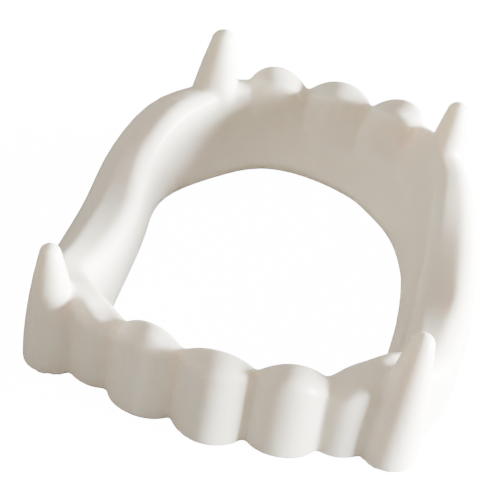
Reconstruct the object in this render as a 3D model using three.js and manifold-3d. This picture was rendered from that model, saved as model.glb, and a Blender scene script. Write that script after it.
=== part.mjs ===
// Vampire fang denture: one moulded ring of soft plastic that lies open on the table, tooth tips up.
// Millimetres, +Z up. The near row is at -Y, the far row at +Y. The mould is the same left and right, and
// the soft piece lies a little out of square.
import * as THREE from "three";
import { mergeVertices } from "three/addons/utils/BufferGeometryUtils.js";
import Module from "manifold-3d";

// Driving sizes of the whole piece.
const HALF_WIDTH = 22.0; // outer half width of the side bands
const HALF_LENGTH = 26.4; // half the distance between the outer creases of the two rows
const WALL_HEIGHT = 9.0; // height of the walls beside the fangs
const DRAFT = 0.5; // how far the outer face leans in from the floor to the crest
const SHOULDER_ROUND = 0.25; // the outer shoulder is rounder than the brow of the crest by this much
const TOOTH_ROUND = 0.15; // extra round on a tooth for each millimetre it bulges
const FOOT_ROUND = 0.4; // round along the outer foot
const LIP_ROUND = 0.9; // round along the lip of the central hole
const LIP_EASE = 3.0; // the lip's curve is evened out over steps of this length
const WAIST = 0.3; // share of the inner slope that is used up above the waist of the wall
const WAIST_HEIGHT = 0.45; // height of that waist as a share of the crest
const WAIST_ROUND = 4.0; // round of the inner face at the waist
const FANG_TAPER = 1.6; // above 1 a fang is blunt towards its foot and narrows faster near its tip

// Sections round the right half, from the middle of the near row to the middle of the far row.
// x: share of HALF_WIDTH, y: share of HALF_LENGTH, crest and drop: shares of WALL_HEIGHT,
// drop: how far the outer shoulder stays under the crest, top: thickness of the crest in mm,
// brow: round of the crest in mm, small along the rows and broad on the soft side bands.
const SECTIONS = [
  { x: 0.0, y: -0.966, crest: 0.93, drop: 0.0, top: 1.6, brow: 0.8 },
  { x: 0.345, y: -0.924, crest: 0.95, drop: 0.0, top: 1.6, brow: 0.8 },
  { x: 0.5, y: -0.899, crest: 0.98, drop: 0.17, top: 2.5, brow: 0.9 },
  { x: 0.62, y: -0.871, crest: 1.04, drop: 0.08, top: 3.6, brow: 1.0 },
  { x: 0.832, y: -0.792, crest: 1.1, drop: 0.06, top: 5.2, brow: 1.4 },
  { x: 0.968, y: -0.568, crest: 0.95, drop: 0.05, top: 4.9, brow: 1.8 },
  { x: 0.995, y: -0.303, crest: 0.7, drop: 0.03, top: 6.0, brow: 2.1 },
  { x: 1.0, y: 0.019, crest: 0.55, drop: 0.01, top: 6.4, brow: 2.2 },
  { x: 0.968, y: 0.31, crest: 0.76, drop: 0.01, top: 5.9, brow: 2.1 },
  { x: 0.864, y: 0.56, crest: 1.06, drop: 0.01, top: 4.9, brow: 1.7 },
  { x: 0.712, y: 0.765, crest: 1.1, drop: 0.01, top: 3.8, brow: 1.3 },
  { x: 0.545, y: 0.89, crest: 1.09, drop: 0.01, top: 2.4, brow: 1.0 },
  { x: 0.336, y: 0.992, crest: 0.97, drop: 0.0, top: 1.8, brow: 0.8 },
  { x: 0.0, y: 1.034, crest: 0.92, drop: 0.0, top: 1.8, brow: 0.8 },
];

// The inner face of each section on the two sides, because the soft piece lies a little twisted.
// foot: thickness of the foot in mm, fall: how far the inner edge of the crest lies under the crest,
// as a share of WALL_HEIGHT.
const INNER = [
  { right: { foot: 5.7, fall: 0.0 }, left: { foot: 5.7, fall: 0.0 } },
  { right: { foot: 5.6, fall: 0.0 }, left: { foot: 5.6, fall: 0.0 } },
  { right: { foot: 5.8, fall: 0.0 }, left: { foot: 5.9, fall: 0.05 } },
  { right: { foot: 6.2, fall: 0.0 }, left: { foot: 6.5, fall: 0.16 } },
  { right: { foot: 7.3, fall: 0.0 }, left: { foot: 8.1, fall: 0.21 } },
  { right: { foot: 8.0, fall: 0.06 }, left: { foot: 8.8, fall: 0.2 } },
  { right: { foot: 8.4, fall: 0.1 }, left: { foot: 8.6, fall: 0.08 } },
  { right: { foot: 8.7, fall: 0.12 }, left: { foot: 8.4, fall: 0.0 } },
  { right: { foot: 8.9, fall: 0.1 }, left: { foot: 7.8, fall: 0.0 } },
  { right: { foot: 9.2, fall: 0.05 }, left: { foot: 7.7, fall: 0.0 } },
  { right: { foot: 10.6, fall: 0.0 }, left: { foot: 7.8, fall: 0.0 } },
  { right: { foot: 11.2, fall: 0.0 }, left: { foot: 7.5, fall: 0.0 } },
  { right: { foot: 11.1, fall: 0.0 }, left: { foot: 7.9, fall: 0.0 } },
  { right: { foot: 9.8, fall: 0.0 }, left: { foot: 9.8, fall: 0.0 } },
];

// Teeth of each row, from its middle outwards along the wall, in mm. The first one straddles the middle.
// bulge: how far it stands out of the outer face, hollow: the same on the inner face,
// rise: how far it stands above the crest.
const TEETH = {
  near: [
    { width: 7.6, bulge: 1.9, hollow: 0.5, rise: 1.2, steps: 12 },
    { width: 7.1, bulge: 1.8, hollow: 0.5, rise: 1.1, steps: 11 },
    { width: 4.7, bulge: 0.7, hollow: 0.3, rise: -0.2, steps: 7 },
  ],
  far: [
    { width: 8.0, bulge: 1.85, hollow: 1.7, rise: 1.4, steps: 12 },
    { width: 7.2, bulge: 1.75, hollow: 1.7, rise: 1.5, steps: 11 },
    { width: 2.0, bulge: 0.3, hollow: 0.1, rise: -0.2, steps: 3 },
  ],
};

// Fangs: one pair in each row, straight after the last tooth of the row, side -1 on the left.
// along: distance of the axis from that tooth, inset: depth of the axis behind the outer face,
// foot and tip: radii in mm, lean: tilt to the right in degrees.
const FANGS = [
  { row: "near", side: -1, along: 2.85, inset: 0.85, foot: 3.1, tip: 1.15, height: 14.2, lean: -5.0 },
  { row: "near", side: 1, along: 2.8, inset: 0.7, foot: 2.95, tip: 1.3, height: 15.8, lean: 2.5 },
  { row: "far", side: -1, along: 2.9, inset: 1.3, foot: 3.2, tip: 1.3, height: 16.9, lean: 1.5 },
  { row: "far", side: 1, along: 2.9, inset: 1.3, foot: 3.2, tip: 1.3, height: 15.4, lean: 1.5 },
];

// How the soft ring lies out of square: shift in mm to the right and to the far side, one row for every
// 30 degrees round the middle, from the right side over the far row and the left side to the near row.
const LIE = [
  { right: 0.6, far: 0.0 },
  { right: 0.2, far: 0.0 },
  { right: 0.8, far: 0.0 },
  { right: 0.7, far: 0.0 },
  { right: 0.25, far: 0.0 },
  { right: -1.1, far: 0.2 },
  { right: -0.3, far: 0.0 },
  { right: 0.0, far: -0.8 },
  { right: 0.0, far: 0.0 },
  { right: 0.2, far: 0.0 },
  { right: 0.4, far: 0.0 },
  { right: 0.6, far: 0.0 },
];

const SIDE_STEPS = 27; // loft steps along each side band, between the rows
const ROUND_STEPS = [3, 8, 6, 4, 4]; // arc steps of foot, shoulder, crest, waist and lip
const FANG_SIDES = 30;
const FANG_RINGS = 5;
const TIP_RINGS = 5;

const wasm = await Module();
wasm.setup();

function loop(columns) {
  const sides = (row, side, i) => columns(row, side, side > 0 ? INNER[i].right : INNER[i].left);
  const right = SECTIONS.map((row, i) => sides(row, 1, i));
  const left = SECTIONS.map((row, i) => sides(row, -1, i)).slice(1, -1).reverse();
  const curve = new THREE.CatmullRomCurve3([...right, ...left], true, "catmullrom", 0.5);
  curve.arcLengthDivisions = 2600;
  return curve;
}

// Curves through the same sections, so one parameter reads plan, heights and thicknesses together.
const plan = loop((row, side) => new THREE.Vector3(side * row.x * HALF_WIDTH, row.y * HALF_LENGTH, 0));
const heights = loop((row, _, inner) => {
  return new THREE.Vector3(row.crest, row.drop, inner.fall).multiplyScalar(WALL_HEIGHT);
});
const walls = loop((row, _, inner) => new THREE.Vector3(row.top, inner.foot, row.brow));
const LOOP_LENGTH = plan.getLength();

// The foot of the inner face runs on a curve of its own.
const feet = plan.points.map((point, i) => {
  const along = plan.getTangent(i / plan.points.length);
  return point.clone().addScaledVector(new THREE.Vector3(along.y, -along.x, 0), -walls.points[i].y);
});
const lip = new THREE.CatmullRomCurve3(feet, true, "centripetal");

// Height over a chord of a circle that rises by `sagitta` in its middle.
function arc(offset, chord, sagitta) {
  const half = chord / 2;
  const radius = (half * half + sagitta * sagitta) / (2 * Math.abs(sagitta));
  return Math.sign(sagitta) * (Math.sqrt(radius * radius - offset * offset) - radius + Math.abs(sagitta));
}

function parameterAt(distance) {
  return plan.getUtoTmapping(0, THREE.MathUtils.euclideanModulo(distance, LOOP_LENGTH));
}

// The lip beside one place of the wall, as the mean of five points along it.
function lipAt(distance) {
  const sum = new THREE.Vector3();
  for (const step of [-2, -1, 0, 1, 2]) sum.add(lip.getPoint(parameterAt(distance + step * LIP_EASE)));
  return sum.divideScalar(5);
}

// Everything the wall needs at one distance along the loop.
function wallAt(distance) {
  const t = parameterAt(distance);
  const point = plan.getPoint(t);
  const outward = point.clone().sub(lipAt(distance));
  const foot = outward.length();
  outward.normalize();
  const height = heights.getPoint(t);
  const [crest, drop, fall] = height.toArray();
  const { x: top, z: brow } = walls.getPoint(t);
  return { point, outward, foot, crest, drop, fall, top, brow };
}

// Loft stations of one row from its middle to its fang: distance along the wall, and the tooth there.
function rowStations(teeth) {
  const stations = [];
  let start = -teeth[0].width / 2;
  for (const tooth of teeth) {
    for (let i = 0; i < tooth.steps; i += 1) {
      const offset = tooth.width * (i / tooth.steps - 0.5);
      const swell = (sagitta) => arc(offset, tooth.width, sagitta);
      const dip = 1 - Math.pow((2 * offset) / tooth.width, 2);
      const rise = tooth.rise > 0 ? swell(tooth.rise) : tooth.rise * dip;
      const distance = start + tooth.width / 2 + offset;
      stations.push({ distance, bulge: swell(tooth.bulge), hollow: swell(tooth.hollow), rise });
    }
    start += tooth.width;
  }
  stations.push({ distance: start, bulge: 0, hollow: 0, rise: 0 });
  return stations;
}

// The whole loop of stations: near row, right band, far row, left band.
function allStations() {
  const near = rowStations(TEETH.near);
  const far = rowStations(TEETH.far);
  const half = LOOP_LENGTH / 2;
  const reach = near.at(-1).distance;
  const free = half - reach - far.at(-1).distance;
  const right = near.filter((station) => station.distance >= 0);
  for (let i = 1; i < SIDE_STEPS; i += 1) {
    right.push({ distance: reach + (free * i) / SIDE_STEPS, bulge: 0, hollow: 0, rise: 0 });
  }
  for (const station of far.filter((entry) => entry.distance >= 0).reverse()) {
    right.push({ ...station, distance: half - station.distance });
  }
  const left = right.slice(1, -1).reverse();
  return [...right, ...left.map((station) => ({ ...station, distance: LOOP_LENGTH - station.distance }))];
}

// Points of an arc that rounds the corner `at` between its two neighbours.
function roundCorner(before, at, after, radius, steps) {
  const back = before.clone().sub(at);
  const ahead = after.clone().sub(at);
  const half = back.angleTo(ahead) / 2;
  const reach = Math.min(radius / Math.tan(half), 0.48 * back.length(), 0.48 * ahead.length());
  const from = back.setLength(reach).add(at);
  const to = ahead.setLength(reach).add(at);
  const weight = Math.sin(half);
  return Array.from({ length: steps + 1 }, (_, i) => {
    const q = i / steps;
    const [a, b, c] = [(1 - q) * (1 - q), 2 * q * (1 - q) * weight, q * q];
    const sum = from.clone().multiplyScalar(a).addScaledVector(at, b).addScaledVector(to, c);
    return sum.divideScalar(a + b + c);
  });
}

// One cross section of the wall in its own plane: first number outwards, second number up.
function section(wall, station) {
  const crest = wall.crest + station.rise;
  const thick = wall.top + station.bulge;
  const shoulder = wall.brow + SHOULDER_ROUND + TOOTH_ROUND * station.bulge;
  const waist = -wall.top - (wall.foot - wall.top) * WAIST;
  const corners = [
    [station.bulge, 0, FOOT_ROUND],
    [station.bulge - DRAFT, crest - wall.drop, Math.min(shoulder, 0.45 * thick)],
    [-wall.top - station.hollow, crest - wall.fall, Math.min(wall.brow, 0.45 * thick)],
    [waist, WAIST_HEIGHT * wall.crest, WAIST_ROUND],
    [-wall.foot, 0, LIP_ROUND],
  ];
  const points = corners.map(([n, z]) => new THREE.Vector2(n, z));
  return corners.flatMap(([, , radius], i) => {
    const before = points[(i + points.length - 1) % points.length];
    return roundCorner(before, points[i], points[(i + 1) % points.length], radius, ROUND_STEPS[i]);
  });
}

// Lofts the sections into one closed ring.
function makeRing() {
  const rings = allStations().map((station) => {
    const wall = wallAt(station.distance);
    return section(wall, station).map(
      (p) => new THREE.Vector3(0, 0, p.y).add(wall.point).addScaledVector(wall.outward, p.x),
    );
  });
  const count = rings[0].length;
  const index = [];
  for (let i = 0; i < rings.length; i += 1) {
    for (let j = 0; j < count; j += 1) {
      const a = i * count + j;
      const b = ((i + 1) % rings.length) * count + j;
      const c = ((i + 1) % rings.length) * count + ((j + 1) % count);
      const d = i * count + ((j + 1) % count);
      index.push(a, b, c, a, c, d);
    }
  }
  const geometry = new THREE.BufferGeometry().setFromPoints(rings.flat());
  geometry.setIndex(index);
  return geometry;
}

// A tapered cone with a round tip, foot on the floor.
function makeFang(fang) {
  const neck = fang.height - fang.tip;
  const profile = [new THREE.Vector2(0, 0)];
  for (let i = 0; i <= FANG_RINGS; i += 1) {
    const share = i / FANG_RINGS;
    const radius = fang.foot + (fang.tip - fang.foot) * Math.pow(share, FANG_TAPER);
    profile.push(new THREE.Vector2(radius, neck * share));
  }
  for (let i = 1; i <= TIP_RINGS; i += 1) {
    const angle = ((Math.PI / 2) * i) / TIP_RINGS;
    const radius = i === TIP_RINGS ? 0 : fang.tip * Math.cos(angle);
    profile.push(new THREE.Vector2(radius, neck + fang.tip * Math.sin(angle)));
  }
  const reach = TEETH[fang.row].reduce((sum, tooth) => sum + tooth.width, -TEETH[fang.row][0].width / 2);
  const distance = fang.row === "near" ? reach + fang.along : LOOP_LENGTH / 2 - reach - fang.along;
  const wall = wallAt(distance);
  const axis = wall.point.clone().addScaledVector(wall.outward, -fang.inset);
  const lean = Math.tan(THREE.MathUtils.degToRad(fang.lean));
  const shear = new THREE.Matrix4().makeShear(0, 0, 0, 0, lean, 0);
  const cone = new THREE.LatheGeometry(profile, FANG_SIDES).rotateX(Math.PI / 2).applyMatrix4(shear);
  return cone.translate(axis.x * fang.side, axis.y, 0);
}

function toSolid(geometry) {
  geometry.deleteAttribute("normal");
  geometry.deleteAttribute("uv");
  const merged = mergeVertices(geometry, 1e-4);
  const index = [];
  for (let i = 0; i < merged.index.count; i += 3) {
    const [a, b, c] = [0, 1, 2].map((k) => merged.index.getX(i + k));
    if (a !== b && b !== c && c !== a) index.push(a, b, c);
  }
  return new wasm.Manifold(
    new wasm.Mesh({
      numProp: 3,
      vertProperties: new Float32Array(merged.attributes.position.array),
      triVerts: new Uint32Array(index),
    }),
  );
}

function toGeometry(solid) {
  const mesh = solid.getMesh();
  const geometry = new THREE.BufferGeometry();
  geometry.setAttribute("position", new THREE.BufferAttribute(new Float32Array(mesh.vertProperties), 3));
  geometry.setIndex(new THREE.BufferAttribute(new Uint32Array(mesh.triVerts), 1));
  return geometry;
}

// Lets the finished form settle out of square, with its foot flat on the floor.
function settle(geometry) {
  const shifts = LIE.map((row) => new THREE.Vector3(row.right, row.far, 0));
  const lie = new THREE.CatmullRomCurve3(shifts, true);
  const place = geometry.attributes.position;
  for (let i = 0; i < place.count; i += 1) {
    const turn = Math.atan2(place.getY(i), place.getX(i)) / (2 * Math.PI);
    const shift = lie.getPoint(THREE.MathUtils.euclideanModulo(turn, 1));
    place.setXY(i, place.getX(i) + shift.x, place.getY(i) + shift.y);
  }
}

let body = toSolid(makeRing());
for (const fang of FANGS) body = body.add(toSolid(makeFang(fang)));
const geometry = toGeometry(body);
settle(geometry);
geometry.computeBoundingBox();
const middle = geometry.boundingBox.getCenter(new THREE.Vector3());
geometry.translate(-middle.x, -middle.y, -geometry.boundingBox.min.z);
geometry.computeVertexNormals();

const denture = new THREE.Mesh(
  geometry,
  new THREE.MeshStandardMaterial({ color: 0xf4f0ea, roughness: 0.42, metalness: 0 }),
);
denture.name = "denture";

const part = new THREE.Group();
part.name = "vampire_fang_denture";
part.add(denture);
export default part;
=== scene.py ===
"""Vampire fang denture: one moulding of milky soft plastic lying open, tooth tips up."""

import logging
import math
from dataclasses import dataclass
from enum import Enum

import bmesh
import bpy
import numpy as np
from mathutils import Matrix, Vector


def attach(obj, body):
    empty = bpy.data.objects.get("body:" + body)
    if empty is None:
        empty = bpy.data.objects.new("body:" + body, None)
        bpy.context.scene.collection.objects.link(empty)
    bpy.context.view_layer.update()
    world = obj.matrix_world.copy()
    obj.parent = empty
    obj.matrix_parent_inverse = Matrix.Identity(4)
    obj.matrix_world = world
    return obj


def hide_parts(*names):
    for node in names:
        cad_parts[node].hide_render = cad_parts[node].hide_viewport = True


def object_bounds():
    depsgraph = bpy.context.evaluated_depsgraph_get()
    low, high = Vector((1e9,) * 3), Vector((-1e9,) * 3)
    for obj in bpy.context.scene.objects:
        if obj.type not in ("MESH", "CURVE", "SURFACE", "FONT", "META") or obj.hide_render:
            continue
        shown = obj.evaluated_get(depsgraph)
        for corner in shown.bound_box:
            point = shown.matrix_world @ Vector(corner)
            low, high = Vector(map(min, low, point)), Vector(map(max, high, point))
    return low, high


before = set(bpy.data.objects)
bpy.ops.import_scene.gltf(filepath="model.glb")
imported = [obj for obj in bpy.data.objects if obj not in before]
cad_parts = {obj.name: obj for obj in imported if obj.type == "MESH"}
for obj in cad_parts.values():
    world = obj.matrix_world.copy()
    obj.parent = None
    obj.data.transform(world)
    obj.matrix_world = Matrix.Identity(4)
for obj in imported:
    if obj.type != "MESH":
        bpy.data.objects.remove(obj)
CAD_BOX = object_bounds()

MM = 0.001
NODE = "denture"
PIECE = "denture_moulding"
PHOTO_WIDTH = 500
log = logging.getLogger("denture")

Colour = tuple[float, ...]
Sockets = dict[str, bpy.types.NodeSocket]

# Places of the colour sockets on a Mix node, and of the shader sockets on a Mix Shader node.
MIX_FIRST, MIX_SECOND, MIX_RESULT = 6, 7, 2
SHADER_FIRST, SHADER_SECOND = 1, 2

# Most of a noise texture's values lie between these two.
NOISE_LOW, NOISE_HIGH = 0.36, 0.64


class Backdrop(Enum):
    """Colours of the paper that the piece is shown on."""

    STUDIO_WHITE = (0.93, 0.93, 0.93)
    PALE_GREY = (0.8, 0.8, 0.8)


def link(name: str, mesh: bpy.types.Mesh) -> bpy.types.Object:
    """Puts a mesh into the scene.

    Args:
        name: name of the new object.
        mesh: its mesh.

    Returns:
        The new object.
    """
    thing = bpy.data.objects.new(name, mesh)
    bpy.context.scene.collection.objects.link(thing)
    return thing


class NodeSheet:
    """A small helper that adds nodes to a tree and wires them by name."""

    def __init__(self, tree: bpy.types.NodeTree) -> None:
        """Keeps the tree that the nodes go into."""
        self.tree = tree

    def add(self, kind: str, **settings: object) -> bpy.types.Node:
        """Adds one node.

        Args:
            kind: Blender's node type, without the leading "ShaderNode".
            settings: attributes of the node, or values of its input sockets by socket name.

        Returns:
            The node.
        """
        prefix = "" if kind.startswith("Node") else "ShaderNode"
        node = self.tree.nodes.new(prefix + kind)
        for key, value in settings.items():
            if hasattr(node, key):
                setattr(node, key, value)
            else:
                node.inputs[key.replace("_", " ")].default_value = value
        return node

    def wire(self, source: bpy.types.NodeSocket, target: bpy.types.NodeSocket) -> None:
        """Joins an output to an input."""
        self.tree.links.new(source, target)


def new_group(
    name: str, inputs: dict[str, float | Colour], outputs: dict[str, str]
) -> tuple[NodeSheet, Sockets, Sockets]:
    """Starts a shader node group with named sockets.

    Args:
        name: name of the group.
        inputs: input names with their usual values; a tuple makes a colour socket.
        outputs: output names with their socket types, Float, Color or Vector.

    Returns:
        The sheet for its inner nodes, its input sockets by name and its output sockets by name.
    """
    tree = bpy.data.node_groups.new(name, "ShaderNodeTree")
    for label, value in inputs.items():
        kind = "Color" if isinstance(value, tuple) else "Float"
        socket = tree.interface.new_socket(label, in_out="INPUT", socket_type="NodeSocket" + kind)
        socket.default_value = value
    for label, kind in outputs.items():
        tree.interface.new_socket(label, in_out="OUTPUT", socket_type="NodeSocket" + kind)
    sheet = NodeSheet(tree)
    entry = sheet.add("NodeGroupInput")
    leave = sheet.add("NodeGroupOutput")
    return sheet, {s.name: s for s in entry.outputs}, {s.name: s for s in leave.inputs}


def tone_drift_group() -> bpy.types.NodeTree:
    """Builds the group that lets the plastic's colour drift a little between two tones.

    Returns:
        A group with Light, Dark, Patch Size and Strength in, and Color out.
    """
    sheet, given, out = new_group(
        "Tone Drift",
        {"Light": (1.0, 1.0, 1.0, 1.0), "Dark": (0.8, 0.8, 0.8, 1.0), "Patch Size": 90.0, "Strength": 1.0},
        {"Color": "Color"},
    )
    place = sheet.add("TexCoord")
    cloud = sheet.add("TexNoise", Detail=3.0, Roughness=0.45)
    spread = sheet.add("MapRange")
    spread.inputs["From Min"].default_value = NOISE_LOW
    spread.inputs["From Max"].default_value = NOISE_HIGH
    blend = sheet.add("Mix", data_type="RGBA")
    scaled = sheet.add("Math", operation="MULTIPLY")
    sheet.wire(place.outputs["Object"], cloud.inputs["Vector"])
    sheet.wire(given["Patch Size"], cloud.inputs["Scale"])
    sheet.wire(cloud.outputs["Fac"], spread.inputs["Value"])
    sheet.wire(spread.outputs["Result"], scaled.inputs[0])
    sheet.wire(given["Strength"], scaled.inputs[1])
    sheet.wire(scaled.outputs["Value"], blend.inputs["Factor"])
    sheet.wire(given["Light"], blend.inputs[MIX_FIRST])
    sheet.wire(given["Dark"], blend.inputs[MIX_SECOND])
    sheet.wire(blend.outputs[MIX_RESULT], out["Color"])
    return sheet.tree


def painted_glow_group() -> bpy.types.NodeTree:
    """Builds the group that paints a yellowish glow onto the upper fang tips by height: painted light,
    standing for the light that the thin plastic lets through.

    Returns:
        A group with Low, High and Strength in, heights in metres, and Mask out.
    """
    sheet, given, out = new_group(
        "Painted Tip Glow",
        {"Low": 8.0 * MM, "High": 16.0 * MM, "Strength": 1.0},
        {"Mask": "Float"},
    )
    place = sheet.add("TexCoord")
    split = sheet.add("SeparateXYZ")
    ramp = sheet.add("MapRange", interpolation_type="SMOOTHSTEP")
    scaled = sheet.add("Math", operation="MULTIPLY")
    sheet.wire(place.outputs["Object"], split.inputs["Vector"])
    sheet.wire(split.outputs["Z"], ramp.inputs["Value"])
    sheet.wire(given["Low"], ramp.inputs["From Min"])
    sheet.wire(given["High"], ramp.inputs["From Max"])
    sheet.wire(ramp.outputs["Result"], scaled.inputs[0])
    sheet.wire(given["Strength"], scaled.inputs[1])
    sheet.wire(scaled.outputs["Value"], out["Mask"])
    return sheet.tree


def mould_grain_group() -> bpy.types.NodeTree:
    """Builds the group for the skin that the mould leaves: faint ripples and fine grain.

    Returns:
        A group with Ripple Size, Grain Size and Grain Share in, and Height and Mask out.
    """
    sheet, given, out = new_group(
        "Mould Grain",
        {"Ripple Size": 260.0, "Grain Size": 2600.0, "Grain Share": 0.25},
        {"Height": "Float", "Mask": "Float"},
    )
    place = sheet.add("TexCoord")
    ripple = sheet.add("TexNoise", Detail=2.0, Roughness=0.5)
    grain = sheet.add("TexNoise", Detail=1.0, Roughness=0.6)
    blend = sheet.add("Mix", data_type="FLOAT")
    for noise, size in ((ripple, "Ripple Size"), (grain, "Grain Size")):
        sheet.wire(place.outputs["Object"], noise.inputs["Vector"])
        sheet.wire(given[size], noise.inputs["Scale"])
    sheet.wire(given["Grain Share"], blend.inputs["Factor"])
    sheet.wire(ripple.outputs["Fac"], blend.inputs["A"])
    sheet.wire(grain.outputs["Fac"], blend.inputs["B"])
    sheet.wire(blend.outputs["Result"], out["Height"])
    sheet.wire(ripple.outputs["Fac"], out["Mask"])
    return sheet.tree


@dataclass(frozen=True)
class MilkyVinyl:
    """Soft milky plastic: waxy, a little see-through, with a painted yellowish glow on the fang tips where
    it is thin.
    """

    light: Colour = (0.92, 0.835, 0.70, 1.0)
    dark: Colour = (0.88, 0.785, 0.645, 1.0)
    # painted glow: a yellowish tint mixed into the colour high on the fang tips, standing for light let
    # through the thin plastic
    painted_glow_tint: Colour = (0.93, 0.85, 0.71, 1.0)
    painted_tip_glow: float = 0.8
    rough_low: float = 0.3
    rough_high: float = 0.44
    bend_of_light: float = 1.48
    gloss: float = 0.45
    glow_weight: float = 0.35
    glow_reach: Colour = (1.0, 0.84, 0.68)
    glow_depth: float = 1.6 * MM
    bump: float = 0.05
    bump_depth: float = 0.4 * MM

    def make(self) -> bpy.types.Material:
        """Builds the material.

        Returns:
            The material, with its own nodes.
        """
        skin = bpy.data.materials.new("milky_vinyl")
        skin.use_nodes = True
        skin.node_tree.nodes.clear()
        sheet = NodeSheet(skin.node_tree)
        shader = sheet.add("BsdfPrincipled", IOR=self.bend_of_light)
        shader.inputs["Subsurface Weight"].default_value = self.glow_weight
        shader.inputs["Subsurface Radius"].default_value = self.glow_reach
        shader.inputs["Subsurface Scale"].default_value = self.glow_depth
        shader.inputs["Specular IOR Level"].default_value = self.gloss
        out = sheet.add("OutputMaterial")
        tone = sheet.add("Group", node_tree=tone_drift_group(), Light=self.light, Dark=self.dark)
        # painted glow: the height mask mixes the glow tint into the base colour of the fang tips
        tips = sheet.add("Group", node_tree=painted_glow_group(), Strength=self.painted_tip_glow)
        grain = sheet.add("Group", node_tree=mould_grain_group())
        glow_painted_colour = sheet.add("Mix", data_type="RGBA")
        glow_painted_colour.inputs[MIX_SECOND].default_value = self.painted_glow_tint
        rough = sheet.add("MapRange")
        rough.inputs["To Min"].default_value = self.rough_low
        rough.inputs["To Max"].default_value = self.rough_high
        bump = sheet.add("Bump", Strength=self.bump, Distance=self.bump_depth)
        sheet.wire(tone.outputs["Color"], glow_painted_colour.inputs[MIX_FIRST])
        sheet.wire(tips.outputs["Mask"], glow_painted_colour.inputs["Factor"])
        sheet.wire(glow_painted_colour.outputs[MIX_RESULT], shader.inputs["Base Color"])
        sheet.wire(grain.outputs["Mask"], rough.inputs["Value"])
        sheet.wire(rough.outputs["Result"], shader.inputs["Roughness"])
        sheet.wire(grain.outputs["Height"], bump.inputs["Height"])
        sheet.wire(bump.outputs["Normal"], shader.inputs["Normal"])
        sheet.wire(shader.outputs["BSDF"], out.inputs["Surface"])
        return skin


@dataclass(frozen=True)
class PlainPaper:
    """The pale table top: blown out to the camera, as in the photograph, and a mid grey to the piece."""

    backdrop: Backdrop = Backdrop.STUDIO_WHITE
    bounce: Colour = (0.35, 0.35, 0.35)
    glow_tint: Colour = (1.0, 1.0, 1.0, 1.0)
    glow: float = 15.0
    rough: float = 0.9
    gloss: float = 0.1

    def make(self) -> bpy.types.Material:
        """Builds the material.

        Returns:
            The material, with its own nodes.
        """
        paper = bpy.data.materials.new("plain_paper")
        paper.use_nodes = True
        paper.node_tree.nodes.clear()
        sheet = NodeSheet(paper.node_tree)
        out = sheet.add("OutputMaterial")
        seen = sheet.add("LightPath")
        top = sheet.add("BsdfPrincipled", Roughness=self.rough)
        top.inputs["Base Color"].default_value = (*self.backdrop.value, 1.0)
        top.inputs["Specular IOR Level"].default_value = self.gloss
        top.inputs["Emission Color"].default_value = self.glow_tint
        top.inputs["Emission Strength"].default_value = self.glow
        bounce = sheet.add("BsdfDiffuse")
        bounce.inputs["Color"].default_value = (*self.bounce, 1.0)
        either = sheet.add("MixShader")
        sheet.wire(seen.outputs["Is Camera Ray"], either.inputs["Fac"])
        sheet.wire(bounce.outputs["BSDF"], either.inputs[SHADER_FIRST])
        sheet.wire(top.outputs["BSDF"], either.inputs[SHADER_SECOND])
        sheet.wire(either.outputs["Shader"], out.inputs["Surface"])
        return paper


@dataclass
class Moulding:
    """The ring with its teeth and fangs, as one soft moulded skin over the CAD solid.

    The net is made at workshop_scale times the real size and then scaled back. fillet_step is the
    share of the way that a point moves to its neighbours' middle in each of the fillet_rounds, and
    ridge_share is how much of that a point on a ridge makes.
    """

    source: bpy.types.Object
    voxel: float = 0.25 * MM
    fillet_rounds: int = 5
    fillet_step: float = 0.6
    ridge_share: float = 0.35
    finish: MilkyVinyl = MilkyVinyl()
    workshop_scale: float = 100.0

    def fused_mesh(self) -> bpy.types.Mesh:
        """Resamples the CAD solid with an even, fine net.

        Returns:
            A mesh of small even faces in metres.
        """
        rough = link("moulding_blank", self.source.data.copy())
        rough.data.transform(self.source.matrix_world)
        rough.data.transform(Matrix.Scale(self.workshop_scale, 4))
        remesh = rough.modifiers.new("net", "REMESH")
        remesh.mode = "VOXEL"
        remesh.voxel_size = self.voxel * self.workshop_scale
        graph = bpy.context.evaluated_depsgraph_get()
        mesh = bpy.data.meshes.new_from_object(rough.evaluated_get(graph))
        mesh.transform(Matrix.Scale(1.0 / self.workshop_scale, 4))
        bpy.data.objects.remove(rough)
        return mesh

    def soften(self, mesh: bpy.types.Mesh) -> None:
        """Rounds the net: creases fill up as in a mould, ridges and tips lose only their sharpness.

        Args:
            mesh: the net, changed in place.
        """
        count = len(mesh.vertices)
        points = np.empty(count * 3)
        mesh.vertices.foreach_get("co", points)
        points = points.reshape(-1, 3)
        ends = np.empty(len(mesh.edges) * 2, dtype=np.int64)
        mesh.edges.foreach_get("vertices", ends)
        ends = ends.reshape(-1, 2)
        degree = np.bincount(ends.ravel(), minlength=count)
        for _ in range(self.fillet_rounds):
            total = np.zeros_like(points)
            for axis in range(3):
                total[:, axis] = np.bincount(ends[:, 0], points[ends[:, 1], axis], count)
                total[:, axis] += np.bincount(ends[:, 1], points[ends[:, 0], axis], count)
            pull = total / degree[:, None] - points
            mesh.vertices.foreach_set("co", points.ravel())
            mesh.update()
            facing = np.empty(count * 3)
            mesh.vertex_normals.foreach_get("vector", facing)
            hollow = np.einsum("ij,ij->i", pull, facing.reshape(-1, 3)) > 0
            share = np.where(hollow, 1.0, self.ridge_share)
            points = points + pull * (self.fillet_step * share)[:, None]
        points[:, 2] = np.maximum(points[:, 2], CAD_BOX[0].z)
        mesh.vertices.foreach_set("co", points.ravel())
        mesh.update()

    def build(self) -> bpy.types.Object:
        """Builds and dresses the moulding.

        Returns:
            The finished object.
        """
        mesh = self.fused_mesh()
        self.soften(mesh)
        mesh.polygons.foreach_set("use_smooth", [True] * len(mesh.polygons))
        mesh.name = PIECE
        piece = link(PIECE, mesh)
        piece.data.materials.clear()
        piece.data.materials.append(self.finish.make())
        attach(piece, "root")
        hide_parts(NODE)
        log.info("%s: %d faces", PIECE, len(mesh.polygons))
        return piece


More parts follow.
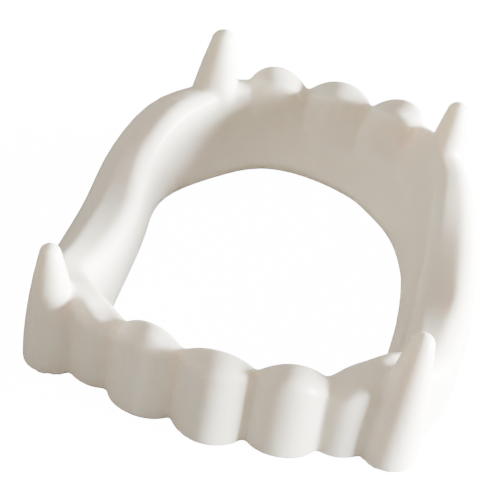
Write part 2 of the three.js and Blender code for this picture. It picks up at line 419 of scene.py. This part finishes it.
@dataclass(frozen=True)
class SoftLamp:
    """A broad soft light that looks at the piece: turn and rise in degrees, sizes in metres."""

    name: str
    power: float
    turn: float
    rise: float
    width: float
    height: float
    tint: Colour
    far: float = 1.0

    def hang(self) -> bpy.types.Object:
        """Hangs the light in its place.

        Returns:
            The light object.
        """
        lamp = bpy.data.lights.new(self.name, "AREA")
        lamp.shape = "RECTANGLE"
        lamp.size = self.width
        lamp.size_y = self.height
        lamp.energy = self.power
        lamp.color = self.tint
        turn, rise = math.radians(self.turn), math.radians(self.rise)
        aside = Vector((math.cos(turn) * math.cos(rise), math.sin(turn) * math.cos(rise), math.sin(rise)))
        thing = bpy.data.objects.new(self.name, lamp)
        bpy.context.scene.collection.objects.link(thing)
        thing.location = aside * self.far
        thing.rotation_euler = (-aside).to_track_quat("-Z", "Y").to_euler()
        return thing


@dataclass
class Studio:
    """Pale table, soft light from the right and the photograph's camera.

    The camera looks at aim from view_far away: view_side degrees to the right of the near side,
    view_down degrees above the table, and rolled by view_roll degrees. focal_pixels is its focal
    length at the photograph's width.
    """

    backdrop: Backdrop = Backdrop.STUDIO_WHITE
    floor_half: float = 0.9
    key: SoftLamp = SoftLamp("window", 265.0, 12.0, 3.5, 0.9, 0.15, (0.9, 0.96, 1.0))
    fill: SoftLamp = SoftLamp("pale_wall", 2.2, 205.0, 35.0, 0.9, 0.7, (1.0, 0.94, 0.86))
    sky: float = 0.67
    sky_near: Colour = (1.0, 0.92, 0.79, 1.0)
    sky_far: Colour = (1.0, 0.985, 0.97, 1.0)
    view_side: float = 9.3
    view_down: float = 38.1
    view_roll: float = 9.7
    view_far: float = 185.3 * MM
    aim: tuple[float, float, float] = (-2.38 * MM, -2.88 * MM, 5.0 * MM)
    focal_pixels: float = 1730.0
    sensor: float = 36.0
    nearest_seen: float = 10.0 * MM

    def floor(self) -> bpy.types.Object:
        """Lays the table top under the piece.

        Returns:
            The floor object.
        """
        sheet = bmesh.new()
        bmesh.ops.create_grid(sheet, x_segments=1, y_segments=1, size=self.floor_half)
        mesh = bpy.data.meshes.new("table_top")
        sheet.to_mesh(mesh)
        sheet.free()
        floor = link("table_top", mesh)
        floor.location.z = CAD_BOX[0].z
        floor.data.materials.append(PlainPaper(self.backdrop).make())
        log.info("table_top: %.1f m wide", 2 * self.floor_half)
        return floor

    def lights(self) -> None:
        """Sets the white room, warmer towards the camera, and hangs the two soft lights."""
        world = bpy.data.worlds.new("white_room")
        world.use_nodes = True
        sheet = NodeSheet(world.node_tree)
        around = sheet.add("TexCoord")
        split = sheet.add("SeparateXYZ")
        share = sheet.add("MapRange")
        share.inputs["From Min"].default_value = -1.0
        blend = sheet.add("Mix", data_type="RGBA")
        blend.inputs[MIX_FIRST].default_value = self.sky_near
        blend.inputs[MIX_SECOND].default_value = self.sky_far
        room = world.node_tree.nodes["Background"]
        room.inputs["Strength"].default_value = self.sky
        sheet.wire(around.outputs["Generated"], split.inputs["Vector"])
        sheet.wire(split.outputs["Y"], share.inputs["Value"])
        sheet.wire(share.outputs["Result"], blend.inputs["Factor"])
        sheet.wire(blend.outputs[MIX_RESULT], room.inputs["Color"])
        bpy.context.scene.world = world
        self.key.hang()
        self.fill.hang()

    def camera(self) -> bpy.types.Object:
        """Places the camera where the photograph was taken from, with its slight tilt.

        Returns:
            The camera object.
        """
        side, down, roll = (math.radians(v) for v in (self.view_side, self.view_down, self.view_roll))
        back = Vector((math.sin(side) * math.cos(down), -math.cos(side) * math.cos(down), math.sin(down)))
        level = Vector((math.cos(side), math.sin(side), 0.0))
        upright = back.cross(level)
        right = math.cos(roll) * level + math.sin(roll) * upright
        up = math.cos(roll) * upright - math.sin(roll) * level
        lens = bpy.data.cameras.new("photo_camera")
        lens.sensor_width = self.sensor
        lens.lens = self.focal_pixels / PHOTO_WIDTH * self.sensor
        lens.clip_start = self.nearest_seen
        camera = bpy.data.objects.new("photo_camera", lens)
        bpy.context.scene.collection.objects.link(camera)
        turn = Matrix((right, up, back)).transposed().to_4x4()
        camera.matrix_world = Matrix.Translation(Vector(self.aim) + back * self.view_far) @ turn
        bpy.context.scene.camera = camera
        return camera


def main() -> None:
    """Builds the studio and the moulding."""
    logging.basicConfig(level=logging.INFO, format="%(name)s: %(message)s")
    studio = Studio()
    studio.camera()
    studio.floor()
    studio.lights()
    Moulding(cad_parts[NODE]).build()


if __name__ == "__main__":
    main()
